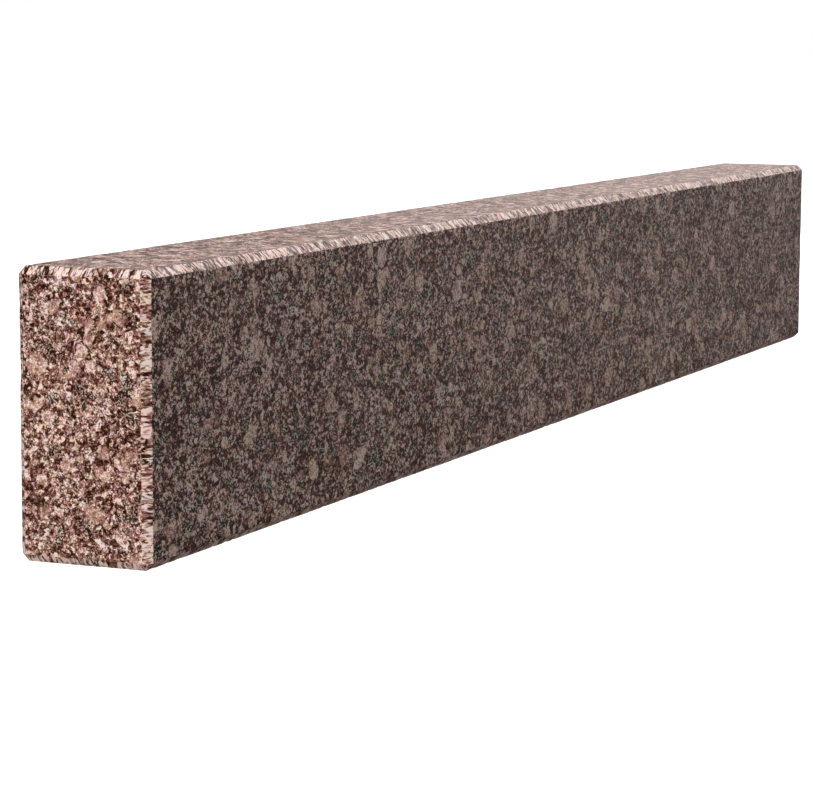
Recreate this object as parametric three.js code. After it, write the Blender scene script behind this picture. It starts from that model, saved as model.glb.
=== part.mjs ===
// A long granite kerb block: one solid bar of stone with all of its edges chamfered.
//
// Frame: millimetres, +Z up. X runs along the block's length, and Y runs from its front face, at -Y,
// to its back face, at +Y. The origin is the middle of the bed face, the one that the block rests on.

import * as THREE from "three";
import { ConvexGeometry } from "three/addons/geometries/ConvexGeometry.js";

// Driving dimensions.
const LENGTH = 1600; // from end face to end face
const WIDTH = 100; // from front face to back face
const HEIGHT = 200; // from bed face to top face
const CHAMFER = 5.6; // leg of the 45 degree chamfer on each of the twelve edges

// Sawn and lightly ground red-brown granite.
const GRANITE_COLOUR = 0x957d76;
const GRANITE_ROUGHNESS = 0.6;

const BOTH_WAYS = [-1, 1];

// A chamfered corner. The sharp corner gives way to three points, one on each of the three faces that
// met there. Each point stays on its face and steps in from the other two by the chamfer's leg, so the
// points span the small triangle that breaks the corner.
function brokenCorner(corner, inwards, leg) {
  const step = inwards.clone().multiplyScalar(leg);
  const onEndFace = corner.clone().add(new THREE.Vector3(0, step.y, step.z));
  const onLongFace = corner.clone().add(new THREE.Vector3(step.x, 0, step.z));
  const onLevelFace = corner.clone().add(new THREE.Vector3(step.x, step.y, 0));
  return [onEndFace, onLongFace, onLevelFace];
}

// The block is convex, so the points of its eight broken corners are enough: their hull makes the six
// flat faces, the twelve chamfers between them and the eight corner triangles.
function chamferedBlock(length, width, height, leg) {
  const points = [];
  for (const alongX of BOTH_WAYS) {
    for (const alongY of BOTH_WAYS) {
      for (const alongZ of BOTH_WAYS) {
        const outwards = new THREE.Vector3(alongX, alongY, alongZ);
        const corner = new THREE.Vector3(length / 2, width / 2, height / 2).multiply(outwards);
        points.push(...brokenCorner(corner, outwards.negate(), leg));
      }
    }
  }
  return new ConvexGeometry(points);
}

function makeGraniteBlock() {
  const granite = new THREE.MeshStandardMaterial({
    color: GRANITE_COLOUR,
    roughness: GRANITE_ROUGHNESS,
    metalness: 0,
  });
  const block = new THREE.Mesh(chamferedBlock(LENGTH, WIDTH, HEIGHT, CHAMFER), granite);
  block.name = "granite_block";
  block.position.z = HEIGHT / 2; // lifts the block so that its bed face lies on the XY plane
  return block;
}

const part = new THREE.Group();
part.name = "granite_kerb";
part.add(makeGraniteBlock());

export default part;
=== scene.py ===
"""The looks of the granite kerb block: a finely meshed stone with worn arrises and mineral grains.

Lengths are in metres, except where a name ends in MM. The grain patterns work in millimetres.
"""
import math
from typing import NamedTuple

import bpy
import numpy as np
from mathutils import Matrix, Vector, noise


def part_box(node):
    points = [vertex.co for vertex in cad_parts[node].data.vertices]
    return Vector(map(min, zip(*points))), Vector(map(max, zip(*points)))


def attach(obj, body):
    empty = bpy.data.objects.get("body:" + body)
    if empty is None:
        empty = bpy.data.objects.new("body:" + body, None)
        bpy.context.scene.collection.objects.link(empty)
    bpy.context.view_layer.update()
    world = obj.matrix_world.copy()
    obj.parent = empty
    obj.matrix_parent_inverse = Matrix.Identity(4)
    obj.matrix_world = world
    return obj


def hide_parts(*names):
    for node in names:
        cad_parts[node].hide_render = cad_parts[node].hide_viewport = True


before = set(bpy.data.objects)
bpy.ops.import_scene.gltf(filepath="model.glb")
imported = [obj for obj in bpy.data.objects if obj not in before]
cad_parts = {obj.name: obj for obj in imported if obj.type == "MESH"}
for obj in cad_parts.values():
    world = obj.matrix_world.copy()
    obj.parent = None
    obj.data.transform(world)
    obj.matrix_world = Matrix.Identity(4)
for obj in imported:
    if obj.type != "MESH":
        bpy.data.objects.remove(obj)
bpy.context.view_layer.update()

NODE = "granite_block"
MM = 0.001
WHITE = (1.0, 1.0, 1.0, 1.0)

# How the stone's surface is divided.
STEP_ALONG = 1.8 * MM
STEPS_PER_HALF_CHAMFER = 3
STEPS_FROM_ARRIS = (0.6 * MM, 1.2 * MM, 2.4 * MM, 4.8 * MM)
WIDEST_STEP = 12 * MM
SHARP_ANGLE = math.radians(20)  # edges that turn by more than this are shaded sharp
SAME_HEIGHT = 0.01 * MM

# Relief, all of it cut inwards from the true faces.
UNEVENNESS = 0.08 * MM
UNEVEN_PATCH_MM = 45.0
UNEVEN_OCTAVES = 4
ARRIS_WEAR = 0.22 * MM
ARRIS_WEAR_REACH = 0.9 * MM
WEAR_PATCH_MM = 12.0
WEAR_MIDDLE, WEAR_CHANGE = 0.75, 0.5  # shares of the full wear: its middle, and how far noise moves it
CHIP_DEPTH = 0.55 * MM
CHIP_REACH = 1.7 * MM
CHIP_SIZE_MM = 6.0
CHIP_ONSET, CHIP_FULL = 0.18, 0.55  # the noise values where a chip starts and where it is deepest
CHIP_PATTERN_START = Vector((17.3, 5.1, 9.7))

# The mesh carries the place of each quad's corner in the grain pattern under this name.
GRAIN_ATTRIBUTE = "stone_mm"
# Across a chamfer the grain is drawn out by the grinding, so its pattern runs slower there.
DRAWN_OUT = 0.32
# The stone has a slight lineation: its crystals are this much longer along the block than across it.
LINEATION = 1.15
# Where in the endless pattern the middle of the block lies.
PATTERN_START_MM = (300.0, 0.0, 0.0)


# ---------------------------------------------------------------- the stone's mesh


def smoothstep(low, high, value):
    """Goes smoothly from 0 at low to 1 at high."""
    t = np.clip((value - low) / (high - low), 0.0, 1.0)
    return t * t * (3.0 - 2.0 * t)


def chamfer_leg(cad):
    """How far the top face stops short of the block's ends."""
    ends = [abs(v.co.x) for v in cad.data.vertices]
    top = max(v.co.z for v in cad.data.vertices)
    on_top = [abs(v.co.x) for v in cad.data.vertices if top - v.co.z < SAME_HEIGHT]
    return max(ends) - max(on_top)


def spread(start, end, widest):
    """Evenly spaced places from start to end, no further apart than widest."""
    count = max(1, math.ceil((end - start) / widest))
    return list(np.linspace(start, end, count + 1))


def lattice_line(half, leg, widest, graded):
    """Places along one axis, from -half to half. The last leg at either end becomes half a chamfer."""
    chamfer = list(np.linspace(0.0, leg, STEPS_PER_HALF_CHAMFER + 1))
    near_arris = list(leg + np.cumsum(STEPS_FROM_ARRIS)) if graded else []
    insets = chamfer + near_arris
    middle = spread(insets[-1] - half, half - insets[-1], widest)
    low_side = [inset - half for inset in insets]
    high_side = [half - inset for inset in reversed(insets)]
    return np.array(low_side + middle[1:-1] + high_side)


def lattice_surface(lines):
    """The points and quads of the box whose faces are divided at the given places along each axis."""
    shape = tuple(len(line) for line in lines)
    outside = np.zeros(shape, bool)
    for axis in range(3):
        for end in (0, -1):
            outside[(slice(None),) * axis + (end,)] = True
    number = np.full(shape, -1)
    number[outside] = np.arange(outside.sum())
    places = np.stack(np.meshgrid(*lines, indexing="ij"), axis=-1)[outside]
    quads = []
    for axis in range(3):
        for end in (0, -1):
            sheet = number[(slice(None),) * axis + (end,)]
            ring = [sheet[:-1, :-1], sheet[1:, :-1], sheet[1:, 1:], sheet[:-1, 1:]]
            faces = np.stack(ring, axis=-1).reshape(-1, 4)
            outwards = (end == -1) == (axis != 1)
            quads.append(faces if outwards else faces[:, ::-1])
    return places, np.concatenate(quads)


def chamfered(places, half, leg):
    """Moves the outermost leg of a box's faces onto its chamfers and corner triangles.

    A point's inset from its own face, and from the two faces beside it, is blended between four ends:
    the flat face, the middle line of either chamfer, and the middle of the corner triangle, which lies
    two thirds of a leg in from all three faces.
    """
    inset = half - np.abs(places)
    own = np.argmin(inset, axis=1)
    rows = np.arange(len(places))
    near = np.minimum(inset, leg) / leg
    moved = inset.copy()
    first, second = (own + 1) % 3, (own + 2) % 3
    u, v = near[rows, first], near[rows, second]
    both = (1.0 - u) * (1.0 - v) * 2.0 / 3.0
    moved[rows, own] = leg * ((1.0 - u) * v / 2.0 + u * (1.0 - v) / 2.0 + both)
    moved[rows, first] += leg * (u * v + (1.0 - u) * v / 2.0 + u * (1.0 - v) + both - u)
    moved[rows, second] += leg * (u * v + (1.0 - u) * v + u * (1.0 - v) / 2.0 + both - v)
    return np.sign(places) * (half - moved)


def arris_distance(places, half, leg):
    """How far each lattice point is from the nearest line where a chamfer meets a face."""
    inset = half - np.abs(places)
    own = np.argmin(inset, axis=1)
    beyond = inset - leg
    distance = np.where(beyond < 0.0, -beyond / math.sqrt(2.0), beyond)
    distance[np.arange(len(places)), own] = np.inf
    return distance.min(axis=1)


def noise_at(points_mm, patch_mm, start=Vector()):
    """Smooth noise about 0 at each point, in patches of the given size."""
    return np.array([noise.noise(Vector(point / patch_mm) + start) for point in points_mm])


def fractal_at(points_mm, patch_mm, octaves):
    """Noise about 0 at each point, with finer and finer detail inside its patches."""
    increment, gap = 1.0, 2.0
    places = [Vector(point / patch_mm) for point in points_mm]
    return np.array([noise.fractal(place, increment, gap, octaves) for place in places])


def relief(points, distance):
    """How deep each point lies under the true surface, from unevenness, wear and chips on the arrises."""
    points_mm = points / MM
    uneven = fractal_at(points_mm, UNEVEN_PATCH_MM, UNEVEN_OCTAVES)
    worn = noise_at(points_mm, WEAR_PATCH_MM)
    chipped = noise_at(points_mm, CHIP_SIZE_MM, CHIP_PATTERN_START)
    depth = UNEVENNESS * np.clip(0.5 + 0.5 * uneven, 0.0, 1.0)
    near_arris = np.exp(-((distance / ARRIS_WEAR_REACH) ** 2))
    depth += ARRIS_WEAR * (WEAR_MIDDLE + WEAR_CHANGE * worn) * near_arris
    chips = smoothstep(CHIP_ONSET, CHIP_FULL, chipped)
    depth += CHIP_DEPTH * chips * np.exp(-((distance / CHIP_REACH) ** 2))
    return depth


def grain_places(points, quads, near_edge, half, leg):
    """Where each corner of each quad lies in the grain pattern, in millimetres.

    Quads near two faces are on a chamfer and those near three on a corner triangle. The pattern is drawn
    out about the chamfer's middle, and left as it is on the corner triangles.
    """
    corners = points[quads]
    inset = half - np.abs(corners)
    edges = near_edge.sum(axis=1)
    middle = np.where(edges == 3, 2.0 * leg / 3.0, leg / 2.0)[:, None, None]
    share = np.where(edges == 3, 1.0, DRAWN_OUT)[:, None, None]
    drawn = middle + share * (inset - middle)
    squeezed = near_edge[:, None, :] & (edges >= 2)[:, None, None]
    places = np.sign(corners) * (half - np.where(squeezed, drawn, inset)) / MM
    return places / (LINEATION, 1.0, 1.0) + PATTERN_START_MM


def quad_finishes(inset, near_edge):
    """The finish of each quad: that of the face it belongs to, or ground on chamfers and corners."""
    finishes = np.array([SAWN, LONG_WITH_PAINTED_SHADE, LEVEL])[np.argmin(inset, axis=1)]
    finishes[near_edge.sum(axis=1) >= 2] = GROUND
    return finishes


def cut_relief(mesh, true_points, depth):
    """Moves the mesh's points inwards from their true places by the given depths."""
    normals = np.empty(len(true_points) * 3, np.float32)
    mesh.vertex_normals.foreach_get("vector", normals)
    cut = true_points - normals.reshape(-1, 3) * depth[:, None]
    mesh.vertices.foreach_set("co", cut.astype(np.float32).ravel())


def make_stone(cad):
    low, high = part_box(cad.name)
    centre = np.array((low + high) / 2)
    half = np.array((high - low) / 2)
    leg = chamfer_leg(cad)
    lines = [
        lattice_line(half[0], leg, STEP_ALONG, graded=False),
        lattice_line(half[1], leg, WIDEST_STEP, graded=True),
        lattice_line(half[2], leg, WIDEST_STEP, graded=True),
    ]
    places, quads = lattice_surface(lines)
    points = chamfered(places, half, leg)
    inset = half - np.abs(places[quads].mean(axis=1))
    near_edge = inset < leg

    mesh = bpy.data.meshes.new("granite_stone")
    mesh.from_pydata((points + centre).tolist(), [], quads.tolist())
    mesh.update()
    cut_relief(mesh, points + centre, relief(points, arris_distance(places, half, leg)))

    grain = grain_places(points, quads, near_edge, half, leg)
    grain_attribute = mesh.attributes.new(GRAIN_ATTRIBUTE, "FLOAT_VECTOR", "CORNER")
    grain_attribute.data.foreach_set("vector", grain.astype(np.float32).ravel())
    for finish in FINISHES:
        mesh.materials.append(granite(finish))
    mesh.polygons.foreach_set("material_index", quad_finishes(inset, near_edge).astype(np.int32))
    mesh.polygons.foreach_set("use_smooth", np.ones(len(quads), bool))
    mesh.set_sharp_from_angle(angle=SHARP_ANGLE)
    mesh.update()

    stone = bpy.data.objects.new("granite_stone", mesh)
    bpy.context.scene.collection.objects.link(stone)
    return stone


# ---------------------------------------------------------------- making materials


def srgb(red, green, blue):
    """A linear colour from the usual 0 to 255 numbers."""
    shares = [c / 255.0 for c in (red, green, blue)]
    return tuple(c / 12.92 if c <= 0.04045 else ((c + 0.055) / 1.055) ** 2.4 for c in shares) + (1.0,)


class Shader:
    """Makes and joins the nodes of one material. Sizes are in millimetres."""

    def __init__(self, name):
        self.material = bpy.data.materials.new(name)
        self.material.use_nodes = True
        self.tree = self.material.node_tree
        self.surface = self.tree.nodes["Principled BSDF"]

    def feed(self, socket, value):
        if isinstance(value, bpy.types.NodeSocket):
            self.tree.links.new(value, socket)
        else:
            socket.default_value = value

    def node(self, kind, inputs, output, **settings):
        made = self.tree.nodes.new(kind)
        for key, value in settings.items():
            setattr(made, key, value)
        for key, value in inputs.items():
            self.feed(made.inputs[key], value)
        return made.outputs[output]

    def math(self, operation, first, second):
        return self.node("ShaderNodeMath", {0: first, 1: second}, 0, operation=operation)

    def add(self, first, *others):
        for other in others:
            first = self.math("ADD", first, other)
        return first

    def minus(self, first, second):
        return self.math("SUBTRACT", first, second)

    def times(self, first, second):
        return self.math("MULTIPLY", first, second)

    def swing(self, value, amount, middle=0.5):
        """How far value is from its middle, times amount."""
        inputs = {0: value, 1: amount, 2: -middle * amount}
        return self.node("ShaderNodeMath", inputs, 0, operation="MULTIPLY_ADD")

    def step(self, value, low, high):
        """Goes smoothly from 0 at low to 1 at high."""
        inputs = {"Value": value, "From Min": low, "From Max": high}
        return self.node("ShaderNodeMapRange", inputs, "Result", interpolation_type="SMOOTHSTEP")

    def mixed(self, data_type, share, first, second, **settings):
        made = self.tree.nodes.new("ShaderNodeMix")
        made.data_type = data_type
        for key, value in settings.items():
            setattr(made, key, value)
        sockets = {socket.name: socket for socket in made.inputs if socket.enabled}
        self.feed(sockets["Factor"], share)
        self.feed(sockets["A"], first)
        self.feed(sockets["B"], second)
        return next(socket for socket in made.outputs if socket.enabled)

    def blend(self, share, first, second):
        """A number between first and second."""
        return self.mixed("FLOAT", share, first, second)

    def mix(self, share, first, second):
        """A colour between first and second."""
        return self.mixed("RGBA", share, first, second)

    def tinted(self, colour, tint):
        """The colour, multiplied by the tint."""
        return self.mixed("RGBA", 1.0, colour, tint, blend_type="MULTIPLY")

    def cloud(self, place, size, detail=2.0, output="Fac", roughness=0.5):
        """Smooth noise about 0.5, in patches of the given size."""
        inputs = {"Vector": place, "Scale": 1.0 / size, "Detail": detail, "Roughness": roughness}
        return self.node("ShaderNodeTexNoise", inputs, output)

    def pushed(self, place, size, reach, detail=1.0):
        """The place, moved about by up to about the reach, in patches of the given size."""
        inputs = {0: self.cloud(place, size, detail, output="Color"), 1: (0.5, 0.5, 0.5)}
        off = self.node("ShaderNodeVectorMath", inputs, "Vector", operation="SUBTRACT")
        # The noise seldom strays more than a quarter from its middle.
        inputs = {0: off, 1: (4.0 * reach,) * 3, 2: place}
        return self.node("ShaderNodeVectorMath", inputs, "Vector", operation="MULTIPLY_ADD")

    def cells(self, place, size, output, feature="F1"):
        inputs = {"Vector": place, "Scale": 1.0 / size}
        return self.node("ShaderNodeTexVoronoi", inputs, output, feature=feature)

    def draws(self, place, size):
        """Three independent numbers from 0 to 1, the same all over each cell."""
        split = self.tree.nodes.new("ShaderNodeSeparateColor")
        self.feed(split.inputs["Color"], self.cells(place, size, "Color"))
        return split.outputs["Red"], split.outputs["Green"], split.outputs["Blue"]

    def ramp(self, value, stops):
        made = self.tree.nodes.new("ShaderNodeValToRGB")
        elements = made.color_ramp.elements
        while len(elements) < len(stops):
            elements.new(1.0)
        for element, (place, colour) in zip(elements, stops):
            element.position = place
            element.color = colour
        self.feed(made.inputs["Fac"], value)
        return made.outputs["Color"]


# ---------------------------------------------------------------- the granite
#
# Everything in the stone first sets one number, its lightness. The colours follow from the lightness,
# and a hue then tints them.

# The colours by lightness, from the dark seams and mica to the palest feldspar.
STONE_COLOURS = (
    (0.00, srgb(34, 14, 6)),
    (0.16, srgb(64, 36, 26)),
    (0.30, srgb(93, 62, 51)),
    (0.45, srgb(118, 86, 75)),
    (0.62, srgb(142, 111, 100)),
    (0.78, srgb(164, 136, 127)),
    (0.90, srgb(185, 164, 155)),
    (1.00, srgb(213, 199, 190)),
)
MIDDLE_LIGHT = 0.66

# Hues, all of them tints of the colours above.
REDDER = (1.15, 0.91, 0.95, 1.0)
TANNER = (1.03, 0.99, 0.94, 1.0)
ORANGE = (1.09, 0.97, 0.89, 1.0)
MAUVE = (1.07, 0.95, 0.99, 1.0)
GREYER = (0.97, 1.04, 1.07, 1.0)
GREENISH = (0.83, 0.98, 0.95, 1.0)
BLUER = (0.99, 0.985, 1.075, 1.0)
YELLOWER = (1.01, 1.02, 0.935, 1.0)
DEEP_RED = (1.16, 0.94, 0.97, 1.0)
PALER_RED = (0.98, 1.01, 1.0, 1.0)


class Finish(NamedTuple):
    """What sets one finish of the stone apart."""

    name: str
    # On the ground arrises this paleness is partly bruised crystals and partly painted light.
    lift: float  # how much paler than the sawn ends
    contrast: float  # how strong the differences between the crystals are
    blotches: float  # how strong the differences from centimetre to centimetre are
    mica: float = 0.8  # how much of the mica shows
    feldspars: bool = True  # whether the large feldspars show
    red_darks: bool = False  # whether the darker crystals are redder and the paler ones less red


# The long faces show deeper darks than the sawn ends, from stronger contrast that paints shade into them,
# and redder darks; the level faces are blotchier, and the ground arrises are paler, partly from bruised
# crystals and partly from painted light that brightens the chamfers.
FINISHES = (
    Finish("granite_sawn", lift=0.0, contrast=1.0, blotches=0.5),
    # The long faces' stronger contrast is painted shade: it deepens their darks. Their darks are also
    # redder.
    Finish("granite_long_faces_painted_shade", lift=0.0, contrast=1.55, blotches=0.5, red_darks=True),
    Finish("granite_level", lift=0.0, contrast=0.9, blotches=1.7),
    # The ground arrises are made paler, partly for bruised crystals and partly as painted light that
    # brightens the chamfers.
    Finish("granite_ground_arris", lift=0.25, contrast=1.15, blotches=0.9, mica=0.4, feldspars=False),
)
SAWN, LONG_WITH_PAINTED_SHADE, LEVEL, GROUND = range(len(FINISHES))
BLOTCH_MM = 10.0

# The sizes of the crystals, and how much each size of them changes the lightness.
LARGE_MM, LARGE_CONTRAST = 3.7, 0.56
MEDIUM_MM, MEDIUM_CONTRAST = 2.4, 0.72
SMALL_MM, SMALL_CONTRAST = 0.95, 0.86
# The cloudy differences within the crystals, and those between whole regions of the stone.
MOTTLE_MM, MOTTLE_CONTRAST = 3.2, 1.2
REGION_MM, REGION_CONTRAST = 30.0, 0.5
# A few of the medium crystals are grey and paler.
GREY_ABOVE = 0.93
GREY_LIFT = 0.28
# How far the crystals start below the middle, to make up for the pale grey ones and the feldspars.
START_BELOW = 0.045

# Seams between the large crystals. Their width is a share of the large crystals' size.
SEAM_WIDTH, SEAM_WIDTH_CHANGE = 0.05, 0.8
SEAM_PATCH_MM = 5.0
SEAM_SOFTNESS = 0.10
SEAM_DARKENING = 0.36

# The two kinds of large feldspar: the size in millimetres of the cells that they grow in, and the share
# of the cells that hold one.
FELDSPARS = ((12.0, 0.32), (22.0, 0.40))
FELDSPAR_REACH = 0.46  # the radius of the largest, as a share of its cell's size
SMALLEST_REACH = 0.5 * FELDSPAR_REACH
FELDSPAR_EDGE = (-0.05, 0.06)  # where it starts and is full, in from its outline, as shares of the cell
FELDSPAR_LIGHT = 0.86
FELDSPAR_OWN_CONTRAST, FELDSPAR_SMALL_CONTRAST, FELDSPAR_MOTTLE_CONTRAST = 0.25, 0.38, 1.5
FELDSPAR_COVER = 0.8  # how far it hides the crystals under it
RIM_MM = (-1.4, -0.4)  # where its dark rim starts and is full, in from its outline
RIM_DARKENING = 0.07

# Black mica and pale flecks gather in loose clusters.
CLUSTER_MM = 15.0
CLUSTER_ONSET, CLUSTER_FULL = 0.58, 0.64
MICA_LIGHT = 0.03
FLECK_ONSET, FLECK_FULL = 0.60, 0.72
FLECK_LIFT = 0.78

# Patches and single crystals that are redder, and others that are yellower.
RED_PATCH_MM, RED_CRYSTALS = 9.0, 0.16
RED_ONSET, RED_FULL = 0.39, 0.61
PALE_ONSET, PALEST = 0.5, 1.0  # the lightness from which the redness falls, and where it is least
RED_IN_PALEST = 0.65  # how much of the redness is left in the palest crystals
DEEP_RED_BELOW, PALER_RED_ABOVE = 0.25, 0.80  # lightness, where a finish has red darks
MAUVE_SHARE = 0.8
YELLOW_PATCH_MM, YELLOW_CRYSTALS = 8.0, 0.22
YELLOW_ONSET, YELLOW_FULL = 0.34, 0.66

ROUGHNESS, ROUGHNESS_OF_SEAMS, ROUGHNESS_OF_CRYSTALS = 0.46, 0.12, 0.12
PIT_MM, PIT_HEIGHT = 0.6, 0.6
CRYSTAL_HEIGHT, SEAM_HEIGHT = 0.3, -0.8
BUMP_STRENGTH = 0.25
BUMP_DISTANCE = 0.12 * MM


class Crystals:
    """The patterns that everything in the granite is made from. Sizes are in millimetres."""

    def __init__(self, s):
        self.place = s.node("ShaderNodeAttribute", {}, "Vector", attribute_name=GRAIN_ATTRIBUTE)
        self.bent = s.pushed(self.place, size=4.5, reach=0.4)
        self.ragged = s.pushed(self.bent, size=1.3, reach=0.15, detail=2.0)
        self.large, self.large_tint, _ = s.draws(self.ragged, LARGE_MM)
        self.medium, medium_kind, self.medium_tint = s.draws(self.ragged, MEDIUM_MM)
        self.grey = s.math("GREATER_THAN", medium_kind, GREY_ABOVE)
        self.small, _, _ = s.draws(self.ragged, SMALL_MM)
        self.mottle = s.cloud(self.bent, MOTTLE_MM, detail=4.0, roughness=0.7)


def crystal_light(s, grains):
    """Crystals of three sizes, each with a lightness of its own, and cloudy differences within them."""
    return s.add(
        MIDDLE_LIGHT - START_BELOW,
        s.swing(grains.large, LARGE_CONTRAST),
        s.swing(grains.medium, MEDIUM_CONTRAST),
        s.swing(grains.small, SMALL_CONTRAST),
        s.swing(grains.mottle, MOTTLE_CONTRAST),
        s.times(grains.grey, GREY_LIFT),
        s.swing(s.cloud(grains.place, REGION_MM), REGION_CONTRAST),
    )


def dark_seams(s, grains):
    """Seams run between the large crystals, in some places wide and in others not at all."""
    width = s.add(SEAM_WIDTH, s.swing(s.cloud(grains.place, SEAM_PATCH_MM), SEAM_WIDTH_CHANGE))
    edge = s.cells(grains.ragged, LARGE_MM, "Distance", "DISTANCE_TO_EDGE")
    return s.minus(1.0, s.step(s.minus(edge, width), 0.0, SEAM_SOFTNESS))


def feldspar_light(s, grains, own):
    """The lightness inside a large feldspar. It is more even than the stone around it."""
    return s.add(
        FELDSPAR_LIGHT,
        s.swing(own, FELDSPAR_OWN_CONTRAST),
        s.swing(grains.small, FELDSPAR_SMALL_CONTRAST),
        s.swing(grains.mottle, FELDSPAR_MOTTLE_CONTRAST),
    )


def with_feldspars(s, grains, light):
    """The lightness with the large feldspars and their thin dark rims in it, and where they are."""
    everywhere = 0.0
    outline = s.pushed(grains.bent, size=4.0, reach=1.0, detail=2.0)
    for size, share in FELDSPARS:
        chosen, radius, own = s.draws(outline, size)
        reach = s.add(SMALLEST_REACH, s.times(radius, FELDSPAR_REACH - SMALLEST_REACH))
        depth = s.minus(reach, s.cells(outline, size, "Distance"))
        here = s.math("LESS_THAN", chosen, share)
        inside = s.times(s.step(depth, *FELDSPAR_EDGE), here)
        rim_start, rim_full = (edge / size for edge in RIM_MM)
        rim = s.times(s.step(depth, rim_start, rim_full), here)
        light = s.minus(light, s.times(rim, RIM_DARKENING))
        light = s.blend(s.times(inside, FELDSPAR_COVER), light, feldspar_light(s, grains, own))
        everywhere = s.math("MAXIMUM", everywhere, inside)
    return light, everywhere


def with_mica(s, grains, light, share):
    """The lightness with the clusters of mica and flecks in it, and where they are."""
    cluster = s.step(s.cloud(grains.place, CLUSTER_MM, detail=4.0), CLUSTER_ONSET, CLUSTER_FULL)
    cluster = s.times(cluster, share)
    flecks = s.add(MICA_LIGHT, s.times(s.step(grains.small, FLECK_ONSET, FLECK_FULL), FLECK_LIFT))
    return s.blend(cluster, light, flecks), cluster


def finished_light(s, grains, light, finish):
    """The lightness with the finish's paleness, which on the ground arrises is partly painted light, its
    contrast, which on the long faces paints shade into the darks, and its blotches.
    """
    light = s.add(MIDDLE_LIGHT + finish.lift, s.swing(light, finish.contrast, middle=MIDDLE_LIGHT))
    return s.add(light, s.swing(s.cloud(grains.bent, BLOTCH_MM), finish.blotches))


def patches(s, place, size, tint, amount, onset, full):
    """From 0 to 1, in patches of the given size that the tints of single crystals break up."""
    return s.step(s.add(s.cloud(place, size), s.swing(tint, amount)), onset, full)


def crystal_hue(s, grains, light, feldspar, cluster):
    """The hue: redder in some patches, grey in a few crystals, orange or mauve in the feldspars."""
    red = patches(s, grains.bent, RED_PATCH_MM, grains.large_tint, RED_CRYSTALS, RED_ONSET, RED_FULL)
    redness = s.times(red, s.blend(s.step(light, PALE_ONSET, PALEST), 1.0, RED_IN_PALEST))
    hue = s.mix(redness, TANNER, REDDER)
    hue = s.mix(grains.grey, hue, GREYER)
    hue = s.mix(feldspar, hue, s.mix(s.times(red, MAUVE_SHARE), ORANGE, MAUVE))
    hue = s.mix(cluster, hue, GREENISH)
    yellow = patches(
        s, grains.place, YELLOW_PATCH_MM, grains.medium_tint, YELLOW_CRYSTALS, YELLOW_ONSET, YELLOW_FULL
    )
    return s.tinted(hue, s.mix(yellow, BLUER, YELLOWER))


def give_texture(s, grains, seam):
    """The roughness and the fine relief: pits, seams a little lower, and crystals of uneven height."""
    rough_crystals = s.swing(grains.medium, ROUGHNESS_OF_CRYSTALS)
    roughness = s.add(ROUGHNESS, s.times(seam, ROUGHNESS_OF_SEAMS), rough_crystals)
    pits = s.swing(s.cloud(grains.place, PIT_MM), PIT_HEIGHT)
    height = s.add(s.swing(grains.large, CRYSTAL_HEIGHT), pits, s.times(seam, SEAM_HEIGHT))
    inputs = {"Height": height, "Strength": BUMP_STRENGTH, "Distance": BUMP_DISTANCE}
    s.feed(s.surface.inputs["Roughness"], roughness)
    s.feed(s.surface.inputs["Normal"], s.node("ShaderNodeBump", inputs, "Normal"))


def granite(finish):
    """Coarse granite with the given finish."""
    s = Shader(finish.name)
    grains = Crystals(s)
    seam = dark_seams(s, grains)
    light = s.minus(crystal_light(s, grains), s.times(seam, SEAM_DARKENING))
    feldspar = 0.0
    if finish.feldspars:
        light, feldspar = with_feldspars(s, grains, light)
    light, cluster = with_mica(s, grains, light, finish.mica)
    light = finished_light(s, grains, light, finish)
    hue = crystal_hue(s, grains, light, feldspar, cluster)
    if finish.red_darks:
        paler = s.step(light, DEEP_RED_BELOW, PALER_RED_ABOVE)
        hue = s.tinted(hue, s.mix(paler, DEEP_RED, PALER_RED))
    s.feed(s.surface.inputs["Base Color"], s.tinted(s.ramp(light, STONE_COLOURS), hue))
    give_texture(s, grains, seam)
    return s.material


# ---------------------------------------------------------------- the studio

# The camera stands beyond the near end of the block, on the side of its front face, and looks along it.
CAMERA_PLACE = Vector((-2.4561, -0.9384, 0.3607))
CAMERA_TURN = math.radians(23.057)  # from +X towards +Y
CAMERA_TILT = math.radians(7.406)  # below the horizon
CAMERA_ROLL = math.radians(-0.263)
CAMERA_REACH = 100.0
LENS_MM = 127.82
SENSOR_MM = 36.0

FLOOR_HALF_WIDTH = 30.0
FLOOR_COLOUR = (0.92, 0.92, 0.92, 1.0)
FLOOR_GLOW = 0.15

# Soft distant lamps. Each has the way to it, as long as the light it gives to a face turned to it, and
# its colour. The light that the floor throws back onto the near end is slightly warm.
LAMPS = {
    "key_lamp": (Vector((-0.48, -0.185, 0.85)), (1.0, 1.0, 1.0)),
    "near_floor_lamp": (Vector((-0.51, 0.01, -0.28)), (1.0, 0.98, 0.93)),
    "back_lamp": (Vector((0.20, 0.30, -0.06)), (1.0, 1.0, 1.0)),
}
LAMP_GAIN = 1.25 * math.pi
LAMP_ANGLE = math.radians(35)

# Besides the lamps there is a little light from all around, and a broad glow beyond the far end.
FILL = 0.07
GLOW = 2.3
GLOW_WAY = Vector((0.92, -0.08, 0.60)).normalized()
GLOW_EDGE = 0.74  # cosine of the angle from the middle of the glow to its edge


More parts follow.
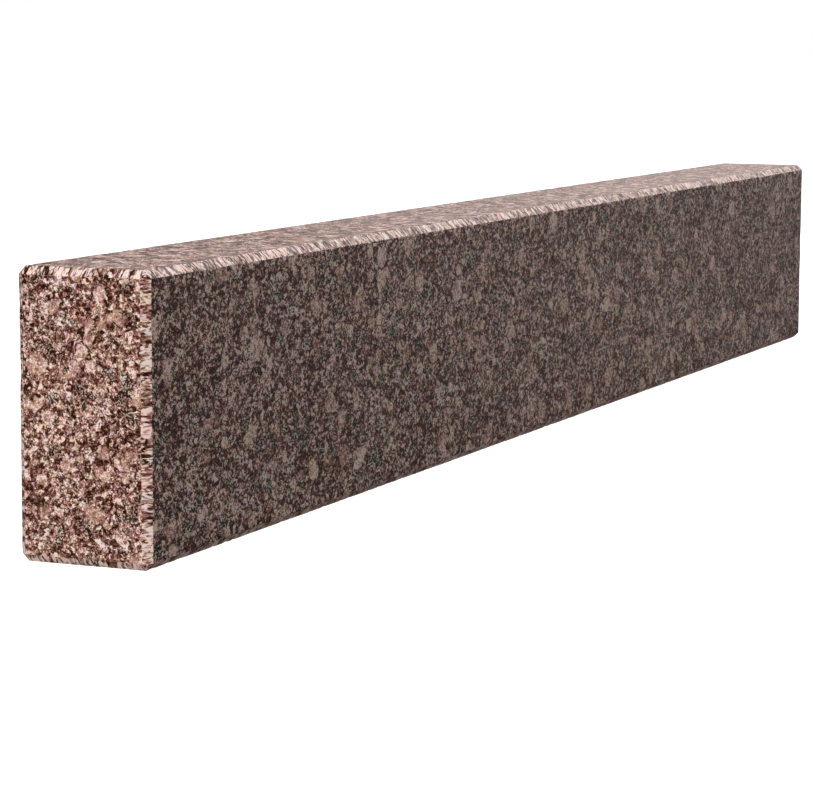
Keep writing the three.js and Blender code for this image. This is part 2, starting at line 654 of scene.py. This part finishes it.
def make_camera():
    ahead = Vector((
        math.cos(CAMERA_TILT) * math.cos(CAMERA_TURN),
        math.cos(CAMERA_TILT) * math.sin(CAMERA_TURN),
        -math.sin(CAMERA_TILT),
    ))
    level_right = Vector((math.sin(CAMERA_TURN), -math.cos(CAMERA_TURN), 0.0))
    level_up = level_right.cross(ahead)
    right = math.cos(CAMERA_ROLL) * level_right - math.sin(CAMERA_ROLL) * level_up
    up = math.sin(CAMERA_ROLL) * level_right + math.cos(CAMERA_ROLL) * level_up
    turned = Matrix((right, up, -ahead)).transposed().to_4x4()
    camera = bpy.data.objects.new("camera", bpy.data.cameras.new("camera"))
    camera.data.sensor_width = SENSOR_MM
    camera.data.lens = LENS_MM
    camera.data.clip_end = CAMERA_REACH
    camera.matrix_world = Matrix.Translation(CAMERA_PLACE) @ turned
    bpy.context.scene.collection.objects.link(camera)
    bpy.context.scene.camera = camera


def floor_paint():
    """A pale matt paint that glows a little, so that the floor merges with the white behind it."""
    paint = bpy.data.materials.new("floor_paint")
    paint.use_nodes = True
    surface = paint.node_tree.nodes["Principled BSDF"]
    surface.inputs["Base Color"].default_value = FLOOR_COLOUR
    surface.inputs["Roughness"].default_value = 1.0
    surface.inputs["Specular IOR Level"].default_value = 0.0
    surface.inputs["Emission Color"].default_value = WHITE
    surface.inputs["Emission Strength"].default_value = FLOOR_GLOW
    return paint


def make_floor():
    """A plain floor under the block. It neither colours the block nor shows in its shine."""
    ways = ((-1, -1), (1, -1), (1, 1), (-1, 1))
    corners = [(x * FLOOR_HALF_WIDTH, y * FLOOR_HALF_WIDTH, 0.0) for x, y in ways]
    mesh = bpy.data.meshes.new("floor")
    mesh.from_pydata(corners, [], [(0, 1, 2, 3)])
    mesh.materials.append(floor_paint())
    floor = bpy.data.objects.new("floor", mesh)
    floor.visible_diffuse = False
    floor.visible_glossy = False
    bpy.context.scene.collection.objects.link(floor)


def make_lamps():
    for name, (way, colour) in LAMPS.items():
        light = bpy.data.lights.new(name, "SUN")
        light.energy = LAMP_GAIN * way.length
        light.color = colour
        light.angle = LAMP_ANGLE
        light.use_shadow = False
        lamp = bpy.data.objects.new(name, light)
        lamp.visible_glossy = False
        lamp.rotation_euler = way.to_track_quat("Z", "Y").to_euler()
        bpy.context.scene.collection.objects.link(lamp)


def make_world():
    """The camera sees plain white. The block is lit by the fill and the glow instead."""
    world = bpy.data.worlds.new("studio")
    world.use_nodes = True
    tree = world.node_tree
    tree.nodes.clear()
    way = tree.nodes.new("ShaderNodeTexCoord")
    towards = tree.nodes.new("ShaderNodeVectorMath")
    towards.operation = "DOT_PRODUCT"
    towards.inputs[1].default_value = GLOW_WAY
    strength = tree.nodes.new("ShaderNodeMapRange")
    strength.interpolation_type = "SMOOTHSTEP"
    strength.inputs["From Min"].default_value = GLOW_EDGE
    strength.inputs["To Min"].default_value = FILL
    strength.inputs["To Max"].default_value = GLOW
    lighting = tree.nodes.new("ShaderNodeBackground")
    backdrop = tree.nodes.new("ShaderNodeBackground")
    backdrop.inputs["Color"].default_value = WHITE
    path = tree.nodes.new("ShaderNodeLightPath")
    either = tree.nodes.new("ShaderNodeMixShader")
    output = tree.nodes.new("ShaderNodeOutputWorld")
    tree.links.new(way.outputs["Generated"], towards.inputs[0])
    tree.links.new(towards.outputs["Value"], strength.inputs["Value"])
    tree.links.new(strength.outputs["Result"], lighting.inputs["Strength"])
    tree.links.new(path.outputs["Is Camera Ray"], either.inputs["Fac"])
    tree.links.new(lighting.outputs["Background"], either.inputs[1])
    tree.links.new(backdrop.outputs["Background"], either.inputs[2])
    tree.links.new(either.outputs["Shader"], output.inputs["Surface"])
    bpy.context.scene.world = world
    bpy.context.scene.view_settings.view_transform = "Standard"


# ---------------------------------------------------------------- putting it together

make_camera()
make_floor()
make_lamps()
make_world()

stone = make_stone(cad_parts[NODE])
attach(stone, "root")
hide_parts(NODE)
